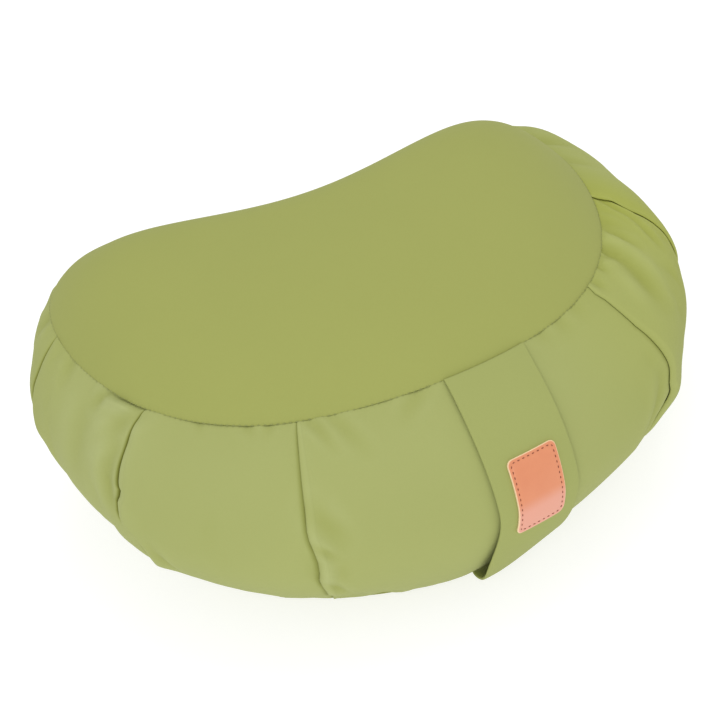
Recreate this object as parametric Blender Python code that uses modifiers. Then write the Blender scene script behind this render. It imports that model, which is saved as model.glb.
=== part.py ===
"""Crescent zafu meditation cushion.

A deep side band is gathered by knife pleats between two crescent panels and
puffed out by its filling. A flat carry strap runs down the front of the band
from seam to seam, and a small leather patch is sewn on the strap.

Metres, +Z up. The cushion lies on its flat underside. The crescent's round
side faces -Y and its hollow side +Y. "Arc" is the distance along the top seam
from the middle of the round side, growing towards +X, and "theta" runs from 0
at the top seam to pi at the bottom seam.
"""
import math

import bmesh
import bpy
import numpy as np

NAME = "zafu_cushion"

# ---- the seams, in plan
SEAM_HALF_LENGTH = 0.1630    # half the crescent's length at the top seam
SEAM_HALF_DEPTH = 0.1096     # half its depth, before it is bent
SEAM_BEND = 0.0297           # how far the ends are carried towards +Y
SEAM_LOBES = 0.0155          # how full the two ends are
SEAM_SKEW = 0.0019           # the right half sits this much forward

# ---- heights
TOP_SEAM_Z = 0.1264
BOTTOM_SEAM_Z = 0.0104
CROWN = 0.0400               # rise of the top panel over its seam
CROWN_FULLNESS = 2.55        # 1 is a cone, more is a fuller, flatter crown

# ---- the side band
PUFF_MEAN = 0.0371           # how far the filling pushes the band out
PUFF_FRONT = 0.0129          # more at the front than at the hollow side
PUFF_RIGHT = 0.0118          # more at the right end than at the left
PUFF_ENDS = 0.0095           # more at the two ends than front and back
PUFF_DIAGONAL = 0.0062       # the filling has slumped to one diagonal
PUFF_SHARPNESS = 1.87        # 1 is a round section, more is flatter at the seams
PUFF_HIGH = 0.0988           # the widest level sits slightly above the middle
FOOT_FRONT = 0.0260          # bottom seam this far out beyond the top seam at the front
FOOT_ENDS = 0.0240           # and this far in under it at the two ends

# ---- the pleats: a row for each, in order along the seam
# arc: where its fold meets the seam; proud: how far the fold's edge stands out;
# tuck: how deep the next panel's end goes in under it
PLEATS = [
    dict(arc=0.0199, proud=0.0008, tuck=0.0008),     # flattened under the strap
    dict(arc=0.1201, proud=0.0028, tuck=0.0022),
    dict(arc=0.2095, proud=0.0030, tuck=0.0030),
    dict(arc=0.3018, proud=0.0026, tuck=0.0026),
    dict(arc=0.3941, proud=0.0022, tuck=0.0024),
    dict(arc=0.4864, proud=0.0022, tuck=0.0024),
    dict(arc=0.5787, proud=0.0026, tuck=0.0026),
    dict(arc=0.6680, proud=0.0034, tuck=0.0030),
    dict(arc=0.7604, proud=0.0032, tuck=0.0034),
    dict(arc=0.8506, proud=0.0026, tuck=0.0030),
]
FOLD_GAP = 0.0014            # a fold's edge stands this far along from its tuck
PANEL_PILLOW = 0.0026        # each panel between two pleats swells this much

# ---- cloth, strap and patch
SHEET = 0.0020               # top and bottom panels, doubled at their hems
CLEAR = 0.0004               # between one piece and the next
STRAP = 0.0022               # strap thickness, folded cotton
STRAP_ARC = 0.0090           # its left edge, along the seam
STRAP_WIDTH = 0.0490
STRAP_SLACK = 0.0068         # how far its left edge hangs off the band
STRAP_SLACK_FADE = 0.75      # the share of that slack lost by its right edge
STRAP_HOLLOW = 0.0110        # how far the band gives behind it
STRAP_SLACK_FROM = 1.35      # theta where the strap leaves the band
PATCH = 0.0014               # leather thickness
PATCH_LENGTH = 0.0410
PATCH_WIDTH = 0.0295
PATCH_CORNER = 0.0045
PATCH_ACROSS = 0.0252        # its middle, from the strap's left edge
PATCH_DOWN = 0.0752          # its middle, down the strap from the seam
PATCH_TURN = 0.03            # its lean on the strap, in radians

# ---- how finely the surfaces are cut
ROWS = 20                    # from seam to seam
PANEL_COLUMNS = [0.0, 0.03, 0.09, 0.2, 0.35, 0.5, 0.65, 0.8, 0.92]
CROWN_RINGS = [0.0, 0.05, 0.13, 0.25, 0.42, 0.64, 0.9]
SOLE_RINGS = [0.0, 0.05, 0.11, 0.2]
SOLE_FLAT = 0.2              # the underside is flat from this ring inwards

COTTON = (0.372, 0.412, 0.122, 1.0)
COTTON_SIDE = (0.402, 0.442, 0.146, 1.0)
LEATHER = (0.760, 0.288, 0.152, 1.0)


def seam(t):
    """Plan curve of the top seam for an angle t, 0 at the middle front."""
    x = SEAM_HALF_LENGTH * np.sin(t)
    y = (-SEAM_HALF_DEPTH * np.cos(t) - SEAM_BEND * np.cos(2 * t)
         + SEAM_LOBES * np.cos(3 * t) - SEAM_SKEW * np.sin(t))
    return x, y


ANGLES = np.linspace(0.0, 2 * math.pi, 4001)
SEAM_X, SEAM_Y = seam(ANGLES)
ARCS = np.concatenate([[0.0], np.cumsum(np.hypot(np.diff(SEAM_X), np.diff(SEAM_Y)))])
PERIMETER = ARCS[-1]


def unit(v):
    """Vectors of length one."""
    return v / np.linalg.norm(v, axis=-1, keepdims=True)


def band(arc, theta):
    """The side band without its pleats, as points (..., 3)."""
    t = np.interp(np.mod(arc, PERIMETER), ARCS, ANGLES)
    x, y = seam(t)
    ahead_x, ahead_y = seam(t + 1e-4)
    behind_x, behind_y = seam(t - 1e-4)
    along = unit(np.stack([ahead_x - behind_x, ahead_y - behind_y], -1))
    puff = (PUFF_MEAN + PUFF_FRONT * np.cos(t) + PUFF_RIGHT * np.sin(t)
            - PUFF_ENDS * np.cos(2 * t) - PUFF_DIAGONAL * np.sin(2 * t))
    foot = FOOT_FRONT * np.clip(np.cos(t), 0, 1) ** 4 - FOOT_ENDS * np.sin(t) ** 4
    swell = np.clip(np.sin(theta), 0, 1) ** PUFF_SHARPNESS
    swell = swell * (1 + PUFF_HIGH * np.cos(theta))
    out = puff * swell + foot * (1 - np.cos(theta)) / 2
    middle = (TOP_SEAM_Z + BOTTOM_SEAM_Z) / 2
    half = (TOP_SEAM_Z - BOTTOM_SEAM_Z) / 2
    z = middle + half * np.cos(theta) + 0 * out
    return np.stack([x + along[..., 1] * out, y - along[..., 0] * out, z], -1)


def band_normal(arc, theta):
    """The band's outward direction at a point."""
    theta = np.clip(theta, 0.08, math.pi - 0.08)
    along = band(arc + 2e-4, theta) - band(arc - 2e-4, theta)
    down = band(arc, theta + 1e-3) - band(arc, theta - 1e-3)
    return unit(np.cross(down, along))


def window(value, start, stop):
    """0 outside start..stop and a smooth hump of height 1 between them."""
    f = np.clip((value - start) / (stop - start), 0, 1)
    return np.sin(math.pi * f) ** 2


def pleat_relief(panel, f, theta):
    """Height over the plain band at fraction f of one panel.

    The panel's start is a fold lying over the end of the panel before it,
    its end is tucked under the next fold, and it pillows in between.
    """
    proud = PLEATS[panel]["proud"]
    tuck = PLEATS[(panel + 1) % len(PLEATS)]["tuck"]
    edge = np.sqrt(np.clip(np.sin(theta), 0, 1))
    relief = (proud * (1 - f) ** 6 - tuck * f ** 8) * edge
    return relief + PANEL_PILLOW * (4 * f * (1 - f) - 0.8) * np.sin(theta)


def strap_hollow(arc, theta):
    """How far the band gives behind the slack half of the strap."""
    middle = STRAP_ARC + STRAP_WIDTH * 0.42
    offset = np.mod(arc - middle + PERIMETER / 2, PERIMETER) - PERIMETER / 2
    return STRAP_HOLLOW * window(offset, -0.034, 0.043) * window(theta, 1.2, 3.05)


def panel_span(panel):
    """Where a panel starts along the seam, and how long it is."""
    start = PLEATS[panel]["arc"]
    stop = PLEATS[(panel + 1) % len(PLEATS)]["arc"]
    return start, (stop - start) % PERIMETER


def columns():
    """Panel number, fraction and arc of every column of the band."""
    out = []
    for panel in range(len(PLEATS)):
        start, length = panel_span(panel)
        for f in PANEL_COLUMNS + [1 - FOLD_GAP / length]:
            out.append((panel, f, start + f * length))
    return out


def middle_line(x, y, fullness=0.55):
    """The line along the middle of the crescent that a panel closes on."""
    mx = fullness * x
    return mx, 1.95 * mx ** 2 + 0.0115


def crown(arc, k):
    """Top panel: k is 0 at the seam and 1 on the crescent's middle line."""
    edge = band(arc, 0 * arc)
    mx, my = middle_line(edge[..., 0], edge[..., 1])
    z = TOP_SEAM_Z + CROWN * (1 - (1 - k) ** CROWN_FULLNESS)
    return np.stack([edge[..., 0] * (1 - k) + mx * k, edge[..., 1] * (1 - k) + my * k,
                     z + 0 * mx], -1)


def sole(arc, k):
    """Bottom panel: it rounds under from its seam and then lies flat."""
    edge = band(arc, 0 * arc + math.pi)
    mx, my = middle_line(edge[..., 0], edge[..., 1])
    rise = (1 - np.minimum(k / SOLE_FLAT, 1)) ** 2
    return np.stack([edge[..., 0] * (1 - k) + mx * k, edge[..., 1] * (1 - k) + my * k,
                     BOTTOM_SEAM_Z * rise + 0 * mx], -1)


def ring_normal(surface, arc, k, side):
    """Outward direction of a crown or sole ring, and of its edge."""
    along = unit(surface(arc + 2e-4, k) - surface(arc - 2e-4, k))
    inward = surface(arc, k + 1e-3) - surface(arc, k)
    normal = side * unit(np.cross(along, inward))
    return normal, side * np.cross(along, normal)


def panel_rings(surface, arc, rings, side, drop):
    """Rings of a panel's outer face (drop 0) or of the body under it."""
    out = []
    for k in rings:
        normal, edge = ring_normal(surface, arc, k, side)
        shift = CLEAR if (drop and k == 0) else 0.0
        out.append(surface(arc, k) - drop * normal + shift * edge)
    return out


def finish(bm, name, colour, roughness):
    """Make an object of a bmesh, shade it and give it its own material."""
    bmesh.ops.recalc_face_normals(bm, faces=bm.faces)
    mesh = bpy.data.meshes.new(name)
    bm.to_mesh(mesh)
    bm.free()
    mesh.shade_smooth()
    mesh.set_sharp_from_angle(angle=math.radians(40))
    material = bpy.data.materials.new(name + "_finish")
    material.use_nodes = True
    shader = material.node_tree.nodes["Principled BSDF"]
    shader.inputs["Base Color"].default_value = colour
    shader.inputs["Roughness"].default_value = roughness
    shader.inputs["Metallic"].default_value = 0.0
    mesh.materials.append(material)
    ob = bpy.data.objects.new(name, mesh)
    COLLECTION.objects.link(ob)
    return ob


def loft(bm, rings, closed=True):
    """Skin a list of point rings with quads; returns the vertex rings."""
    rows = [[bm.verts.new(p) for p in ring] for ring in rings]
    for near, far in zip(rows, rows[1:]):
        count = len(near) if closed else len(near) - 1
        for i in range(count):
            j = (i + 1) % len(near)
            bm.faces.new((near[i], near[j], far[j], far[i]))
    return rows


def thicken(ob, thickness, offset):
    """Give an open sheet its thickness, to one side of its surface."""
    solid = ob.modifiers.new("thickness", "SOLIDIFY")
    solid.thickness = thickness
    solid.offset = offset
    solid.use_even_offset = True
    return solid


def build_body(cols):
    """The filled body: both shallow seats for the panels and the band."""
    arc = np.array([c[2] for c in cols])
    thetas = np.linspace(0, math.pi, ROWS)[1:-1]
    rings = panel_rings(crown, arc, CROWN_RINGS, 1, SHEET + CLEAR)[::-1]
    rings.append(crown(arc, 0.0) + CLEAR * ring_normal(crown, arc, 0.0, 1)[1])
    for theta in thetas:
        relief = np.array([pleat_relief(p, f, theta) for p, f, a in cols])
        relief = relief - strap_hollow(arc, theta)
        rings.append(band(arc, theta + 0 * arc)
                     + relief[:, None] * band_normal(arc, theta + 0 * arc))
    rings.append(sole(arc, 0.0) + CLEAR * ring_normal(sole, arc, 0.0, -1)[1])
    rings.extend(panel_rings(sole, arc, SOLE_RINGS, -1, SHEET + CLEAR))
    bm = bmesh.new()
    rows = loft(bm, rings)
    bm.faces.new(rows[0])
    bm.faces.new(rows[-1])
    return finish(bm, "side_band", COTTON_SIDE, 0.85)


def build_panel(cols, name, surface, rings, side):
    """A crescent sheet, closed over the middle of the body."""
    arc = np.array([c[2] for c in cols])
    bm = bmesh.new()
    rows = loft(bm, panel_rings(surface, arc, rings, side, 0.0))
    bm.faces.new(rows[-1])
    ob = finish(bm, name, COTTON, 0.85)
    if (ob.data.polygons[-1].normal.z > 0) != (side > 0):
        ob.data.flip_normals()
    thicken(ob, SHEET, -1.0)
    return ob


def strap_arc(across, theta):
    """Arc of a line a given distance in from the strap's left edge."""
    near = band(STRAP_ARC + 0.015 + 0 * theta, theta)
    far = band(STRAP_ARC + 0.025 + 0 * theta, theta)
    stretch = np.linalg.norm(far - near, axis=-1) / 0.010
    return STRAP_ARC + across / stretch


def strap_point(across, theta, height):
    """A point at a height over the strap's inner face."""
    tallest = 0.0 * theta
    for edge in np.linspace(STRAP_ARC - 0.002, STRAP_ARC + STRAP_WIDTH + 0.002, 25):
        for panel in range(len(PLEATS)):
            start, length = panel_span(panel)
            f = ((edge - start) % PERIMETER) / length
            if f < 1:
                tallest = np.maximum(tallest, pleat_relief(panel, f, theta))
    slack = STRAP_SLACK * window(theta, STRAP_SLACK_FROM, 3.0)
    slack = slack * (1 - STRAP_SLACK_FADE * across / STRAP_WIDTH)
    up = tallest + slack + 0.0006 + height
    arc = strap_arc(across, theta)
    return band(arc, theta) + up[..., None] * band_normal(arc, theta)


def grid_mesh(points):
    """A bmesh of a grid of points (rows, columns, 3)."""
    bm = bmesh.new()
    loft(bm, list(points), closed=False)
    return bm


def face_out(ob, sample):
    """Turn an open sheet so that its faces look the way of sample."""
    mid = ob.data.polygons[len(ob.data.polygons) // 2]
    if np.dot(mid.normal, sample) < 0:
        ob.data.flip_normals()


def build_strap():
    """A flat band of cloth over the front, slack in its lower half."""
    thetas = np.linspace(0, math.pi, ROWS)[1:-1]
    across, theta = np.meshgrid(np.linspace(0, STRAP_WIDTH, 8), thetas)
    ob = finish(grid_mesh(strap_point(across, theta, 0.0)),
                "handle_strap", COTTON_SIDE, 0.85)
    face_out(ob, (0.0, -1.0, 0.0))
    thicken(ob, STRAP, 1.0)
    return ob


def build_patch():
    """A rounded leather rectangle that follows the strap's face."""
    fine = np.linspace(0.05, math.pi - 0.05, 400)
    line = strap_point(PATCH_ACROSS + 0 * fine, fine, STRAP + 0 * fine)
    run = np.concatenate([[0], np.cumsum(np.linalg.norm(np.diff(line, axis=0), axis=1))])
    half_l = PATCH_LENGTH / 2
    half_w = PATCH_WIDTH / 2
    near = PATCH_CORNER * (1 - np.cos(np.linspace(0, math.pi / 2, 5)))
    downs = np.concatenate([near - half_l, np.linspace(-half_l, half_l, 7)[2:5],
                            (half_l - near)[::-1]])
    rows = []
    for down in downs:
        past = max(0.0, abs(down) - (half_l - PATCH_CORNER))
        round_off = PATCH_CORNER - math.sqrt(max(0.0, PATCH_CORNER ** 2 - past ** 2))
        across = np.linspace(-1, 1, 7) * (half_w - round_off)
        lean_down = down * math.cos(PATCH_TURN) + across * math.sin(PATCH_TURN)
        lean_across = across * math.cos(PATCH_TURN) - down * math.sin(PATCH_TURN)
        theta = np.interp(PATCH_DOWN + lean_down, run, fine)
        rows.append(strap_point(PATCH_ACROSS + lean_across, theta, STRAP + CLEAR))
    ob = finish(grid_mesh(np.array(rows)), "leather_label", LEATHER, 0.45)
    face_out(ob, (0.0, -1.0, 0.0))
    thicken(ob, PATCH, 1.0)
    return ob


def stand_on_origin(objects):
    """Shift every mesh so that the origin is the middle of the footprint."""
    low = np.full(3, 1e9)
    high = np.full(3, -1e9)
    depsgraph = bpy.context.evaluated_depsgraph_get()
    for ob in objects:
        mesh = ob.evaluated_get(depsgraph).to_mesh()
        points = np.array([v.co[:] for v in mesh.vertices])
        low = np.minimum(low, points.min(axis=0))
        high = np.maximum(high, points.max(axis=0))
    middle = (low + high) / 2
    for ob in objects:
        for vertex in ob.data.vertices:
            vertex.co.x -= middle[0]
            vertex.co.y -= middle[1]
        ob.data.update()
    return low, high


for old in list(bpy.data.objects):
    bpy.data.objects.remove(old, do_unlink=True)
COLLECTION = bpy.data.collections.new(NAME)
bpy.context.scene.collection.children.link(COLLECTION)

COLUMNS = columns()
PIECES = [
    build_body(COLUMNS),
    build_panel(COLUMNS, "top_panel", crown, CROWN_RINGS, 1),
    build_panel(COLUMNS, "bottom_panel", sole, SOLE_RINGS, -1),
    build_strap(),
    build_patch(),
]
EXTENT = stand_on_origin(PIECES)
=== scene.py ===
# %% [markdown]
# # Dressing a crescent zafu cushion
# The cushion is a deep band of cotton, gathered by knife pleats between two
# crescent panels and filled with loose hulls. A flat carry strap with a small
# leather patch runs down its rounded front. The solids come from the packed
# model. Here each soft piece is worked out again as a fine surface, so that
# folds, puckers, stitches and weave can show.

# %% Load the frame
import math

import bmesh
import bpy
import numpy as np
from mathutils import Matrix


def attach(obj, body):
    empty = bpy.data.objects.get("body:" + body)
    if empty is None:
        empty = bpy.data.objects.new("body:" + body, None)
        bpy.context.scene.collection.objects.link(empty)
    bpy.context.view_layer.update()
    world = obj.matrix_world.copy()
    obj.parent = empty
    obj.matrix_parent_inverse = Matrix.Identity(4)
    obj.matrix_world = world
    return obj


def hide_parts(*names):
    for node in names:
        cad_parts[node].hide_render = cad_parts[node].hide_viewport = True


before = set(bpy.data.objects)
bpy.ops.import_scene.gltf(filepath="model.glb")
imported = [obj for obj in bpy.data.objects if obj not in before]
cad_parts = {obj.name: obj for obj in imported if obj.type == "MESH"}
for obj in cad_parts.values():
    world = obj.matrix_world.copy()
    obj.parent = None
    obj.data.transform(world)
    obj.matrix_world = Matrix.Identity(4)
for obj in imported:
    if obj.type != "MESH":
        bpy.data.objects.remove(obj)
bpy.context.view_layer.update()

# %% [markdown]
# ## The seam and the band
# Everything hangs on one plan curve, the seam where the top panel meets the
# band: a short Fourier sum. A place on the band is given by `arc`, the distance
# along that seam, and `theta`, from 0 at the top seam to pi at the bottom one.

# %% Sizes, in metres
SEAM_HALF_LENGTH, SEAM_HALF_DEPTH = 0.1630, 0.1096
SEAM_BEND, SEAM_LOBES, SEAM_SKEW = 0.0297, 0.0155, 0.0019
TOP_SEAM_Z, BOTTOM_SEAM_Z = 0.1264, 0.0104
CROWN, CROWN_FULLNESS = 0.0400, 2.55
PLACE = np.array([-0.01067, 0.02735, 0.0])   # plan shift onto the frame's origin


def seam(t):
    """x = a sin t; y = -b cos t - bend cos 2t + lobes cos 3t - skew sin t."""
    x = SEAM_HALF_LENGTH * np.sin(t)
    y = (-SEAM_HALF_DEPTH * np.cos(t) - SEAM_BEND * np.cos(2 * t)
         + SEAM_LOBES * np.cos(3 * t) - SEAM_SKEW * np.sin(t))
    return x, y


ANGLES = np.linspace(0.0, 2 * math.pi, 4001)
SEAM_X, SEAM_Y = seam(ANGLES)
ARCS = np.concatenate([[0.0], np.cumsum(np.hypot(np.diff(SEAM_X), np.diff(SEAM_Y)))])
PERIMETER = ARCS[-1]
print("seam length %.3f m" % PERIMETER)


def unit(v):
    """Vectors divided by their length."""
    return v / np.maximum(np.linalg.norm(v, axis=-1, keepdims=True), 1e-12)


def smooth(value, start, stop):
    """3f^2 - 2f^3 of the fraction f from start to stop, held to 0..1."""
    f = np.clip((value - start) / (stop - start), 0, 1)
    return f * f * (3 - 2 * f)


def window(value, start, stop):
    """sin^2 hump of height 1 between start and stop."""
    f = np.clip((value - start) / (stop - start), 0, 1)
    return np.sin(math.pi * f) ** 2


def band(arc, theta):
    """Seam point pushed out by puff * sin^n(theta) * (1 + q cos theta) + foot."""
    t = np.interp(np.mod(arc, PERIMETER), ARCS, ANGLES)
    x, y = seam(t)
    ahead, behind = seam(t + 1e-4), seam(t - 1e-4)
    along = unit(np.stack([ahead[0] - behind[0], ahead[1] - behind[1]], -1))
    puff = (0.0371 + 0.0129 * np.cos(t) + 0.0118 * np.sin(t)
            - 0.0095 * np.cos(2 * t) - 0.0062 * np.sin(2 * t))
    foot = 0.0260 * np.clip(np.cos(t), 0, 1) ** 4 - 0.0240 * np.sin(t) ** 4
    swell = np.clip(np.sin(theta), 0, 1) ** 1.87 * (1 + 0.0988 * np.cos(theta))
    out = puff * swell + foot * (1 - np.cos(theta)) / 2
    z = ((TOP_SEAM_Z + BOTTOM_SEAM_Z) / 2
         + (TOP_SEAM_Z - BOTTOM_SEAM_Z) / 2 * np.cos(theta) + 0 * out)
    return np.stack([x + along[..., 1] * out, y - along[..., 0] * out, z], -1)


def band_normal(arc, theta):
    """Cross product of the steps down and along the band."""
    theta = np.clip(theta, 0.08, math.pi - 0.08)
    along = band(arc + 2e-4, theta) - band(arc - 2e-4, theta)
    down = band(arc, theta + 1e-3) - band(arc, theta - 1e-3)
    return unit(np.cross(down, along))


# %% [markdown]
# ## Pleats
# A knife pleat is a flat Z of cloth: the end of one panel slides in under the
# fold, turns back, and comes out again as the folded edge of the next panel.
# Each column of the grid has its own step along the seam, so the surface can
# run backwards and make that undercut.
# In the tables lengths are in tenths of a millimetre and angles in hundredths.

# %% Pleat table
# proud, tuck: height of the folded edge, depth of the panel end under it; gape:
# how far the edge lifts low on the band; crisp: how deep the crevice is and how
# dark its painted shade is; late: share of it missing near the top; fade: share
# of the step lost by the foot; cloth: how thick the doubled cloth stands, and how
# strong the highlight painted on the folded edge is; then theta and place of the fold
PLEAT_UNITS = dict(proud=1e4, tuck=1e4, gape=1e4, crisp=1, late=1, fade=1, cloth=1,
                   theta=100, line=1e4)
PLEAT_ROWS = [
    (6, 6, 0, 0.0, 0.0, 0.0, 0.1, (0, 310), (199, 199)),
    (22, 16, 6, 0.4, 0.9, 0.3, 0.4, (10, 31, 46, 83, 94, 117, 129, 137, 143, 150, 160, 168, 175,
     190, 270), (1192, 1178, 1186, 1177, 1185, 1196, 1199, 1194, 1178, 1162, 1174, 1156, 1124,
     1086, 1076)),
    (15, 13, 4, 0.6, 0.0, 0.0, 0.8, (10, 32, 46, 57, 68, 80, 90, 99, 108, 116, 140, 270), (2104,
     2110, 2106, 2086, 2073, 2072, 2065, 2050, 2040, 2014, 1990, 1990)),
    (22, 20, 6, 1.0, 0.8, 0.3, 0.6, (10, 70, 120, 150, 170, 220, 280), (3130, 3134, 3120, 3132,
     3150, 3156, 3160)),
    (22, 22, 5, 0.9, 0.0, 0.3, 0.8, (10, 60, 110, 160, 180, 230, 280), (3941, 3946, 3936, 3940,
     3912, 3900, 3905)),
    (22, 22, 5, 0.9, 0.0, 0.3, 0.8, (10, 70, 130, 170, 190, 280), (4864, 4858, 4868, 4886, 4908,
     4900)),
    (24, 22, 6, 0.9, 0.0, 0.3, 0.8, (10, 60, 120, 160, 180, 280), (5787, 5792, 5784, 5800, 5832,
     5836)),
    (14, 0, 4, 1.3, 0.0, 0.2, 0.35, (10, 40, 80, 100, 112, 122, 134, 148, 165, 190, 230, 280),
     (6684, 6698, 6705, 6702, 6712, 6746, 6820, 6896, 6940, 6944, 6912, 6880)),
    (28, 3, 6, 2.0, 0.1, 0.0, 0.45, (10, 28, 42, 68, 91, 102, 106, 110, 116, 122, 136, 142, 147,
     152, 159, 168, 180, 200, 230, 270), (7620, 7612, 7608, 7618, 7625, 7632, 7637, 7653, 7651,
     7637, 7638, 7650, 7678, 7712, 7736, 7750, 7758, 7752, 7730, 7710)),
    (19, 15, 2, 0.6, 0.2, 1.0, 0.6, (8, 50, 87, 106, 122, 130, 137, 144, 155, 169, 179, 189, 200,
     260), (8506, 8502, 8499, 8498, 8494, 8497, 8503, 8510, 8516, 8514, 8507, 8511, 8522, 8530)),
]
PLEATS = [{key: np.divide(value, per) for (key, per), value in zip(PLEAT_UNITS.items(), row)}
          for row in PLEAT_ROWS]
# the section of one fold, from deep under it out over its edge: step along the
# seam, shares of tuck and proud, height of the doubled cloth, share of gape, and
# share of the shade painted in its crevice
FOLD = np.array([
    (18, 100, 0, 0, 0, 10), (44, 100, 0, 0, 0, 10), (60, 100, 0, 5, 5, 10),
    (66, 100, 0, 22, 12, 10), (60, 100, 0, 38, 30, 10), (44, 100, 0, 42, 45, 10),
    (18, 100, 0, 44, 70, 10), (2, 100, 0, 48, 90, 10), (-9, 99, 1, 58, 100, 8),
    (-14, 93, 7, 80, 100, 4), (-13, 82, 18, 100, 92, 1), (-7, 62, 38, 95, 80, 0),
    (4, 36, 64, 60, 50, 0), (17, 14, 86, 22, 20, 0),
]) / (1e4, 100, 100, 1e5, 100, 10)
PANEL_COLUMNS, SIDE_ROWS = 56, 128
PANEL_DIP = 0.0014      # the filling bulges less between two pleats
CREVICE, CREVICE_WIDE = 0.0009, 0.0026     # how the cloth sinks beside a fold
FIRST_STEP = 0.0030     # where a panel takes over from its fold
# the crevice's shade and the pale folded edge are painted; these are their reaches
SHADE_WIDE = EDGE_WIDE = 0.0030    # reach of the crevice's shade and the pale edge
CLOTH_COLUMNS = 30      # columns of the simulated cloth in each panel
print(len(PLEATS), "pleats, first and last at %.3f and %.3f m" % (
    PLEATS[0]["line"][0], PLEATS[-1]["line"][0]))


# %% Grid of the band
def fold_line(pleat, theta):
    """Place along the seam, read off the fold's path."""
    return np.interp(theta, pleat["theta"], pleat["line"])


def crispness(pleat, theta):
    """crisp * (1 - late * (1 - smooth step of theta from 0.6 to 1.2))."""
    return pleat["crisp"] * (1 - pleat["late"] * (1 - smooth(theta, 0.6, 1.2)))


def step_height(pleat, theta):
    """Low at the seams, where pleats are sewn flat, full on the belly."""
    return (np.sqrt(np.clip(np.sin(theta), 0, 1)) * (0.42 + 0.58 * smooth(theta, 0.7, 1.9))
            * (1 - pleat["fade"] * smooth(theta, 1.8, 2.5)))


def pleat_pairs(theta):
    """Each pleat with the next one, and where both fold lines run."""
    for pleat, following in zip(PLEATS, PLEATS[1:] + PLEATS[:1]):
        lap = PERIMETER if following is PLEATS[0] else 0
        yield pleat, following, fold_line(pleat, theta), fold_line(following, theta) + lap


def side_grid():
    """arc, relief, theta, painted shade, cloth column and painted edge highlight of the band.

    Panel: relief = proud (1-f)^5 - tuck f^12 - dip 4f(1-f) sin theta.
    Fold: relief = proud share - tuck share + doubled cloth + gape share.
    """
    theta = np.linspace(0, 1, SIDE_ROWS)
    theta = (math.pi * (theta - 0.055 * np.sin(2 * math.pi * theta)))[:, None]
    reach = 0.10 + 0.90 * np.sqrt(np.clip(np.sin(theta), 0, 1))
    yawn = window(theta, 1.15, 3.1)
    step, tuck, proud, own, gape, dark = (FOLD[None, :, k] for k in range(6))
    arcs, reliefs, shades, columns, edges = [], [], [], [], []
    for number, (pleat, following, start, stop) in enumerate(pleat_pairs(theta)):
        here, there = step_height(pleat, theta), step_height(following, theta)
        crisp, next_crisp = crispness(pleat, theta), crispness(following, theta)
        arcs.append(start + step * reach)
        reliefs.append(here * (pleat["proud"] * proud - pleat["tuck"] * tuck)
                       + pleat["cloth"] * np.minimum(1, 3 * reach - 0.2) * own
                       - CREVICE * crisp * (1 - proud) * reach
                       + pleat["gape"] * yawn * gape)
        # painted shade in the crevice under the folded edge
        shades.append(dark * np.minimum(1.5, crisp))
        # painted highlight on the folded edge itself
        edges.append(proud * pleat["cloth"] + 0 * theta)
        first = FIRST_STEP * reach / (stop - start)
        s = np.linspace(0, 1, PANEL_COLUMNS)[None]
        s = s - 0.138 * np.sin(2 * math.pi * s)
        f = first + (1 - first) * s
        arcs.append(start + f * (stop - start))
        left = (1 - f) * (stop - start)     # metres to the next fold
        groove = CREVICE * next_crisp * np.exp(-(left / CREVICE_WIDE) ** 2)
        reliefs.append(here * pleat["proud"] * (1 - f) ** 5 - there * following["tuck"] * f ** 12
                       - PANEL_DIP * 4 * f * (1 - f) * np.sin(theta) - groove * reach)
        # painted shade on the panel's end, where it runs in under the next fold
        shades.append(np.minimum(1.5, next_crisp) * np.exp(-(left / (SHADE_WIDE * reach)) ** 4))
        # painted highlight: the panel's start is the folded edge of its pleat
        edges.append(pleat["cloth"] * np.exp(-f * (stop - start) / EDGE_WIDE))
        share = (np.concatenate(arcs[-2:], 1) - start) / (stop - start)
        columns.append(CLOTH_COLUMNS * (number + share))
    arc, relief, shade, column, edge = (
        np.concatenate(parts, 1) for parts in (arcs, reliefs, shades, columns, edges))
    return arc, relief, theta + 0 * arc, shade, column, edge


# %% [markdown]
# ## Wrinkles
# Where a pleat is stitched down the cloth is fuller than its space, so short
# creases fan out from the seam, and the folds crumple near the foot. Each is a
# line on the band, and its section a valley between two small ridges.

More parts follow.
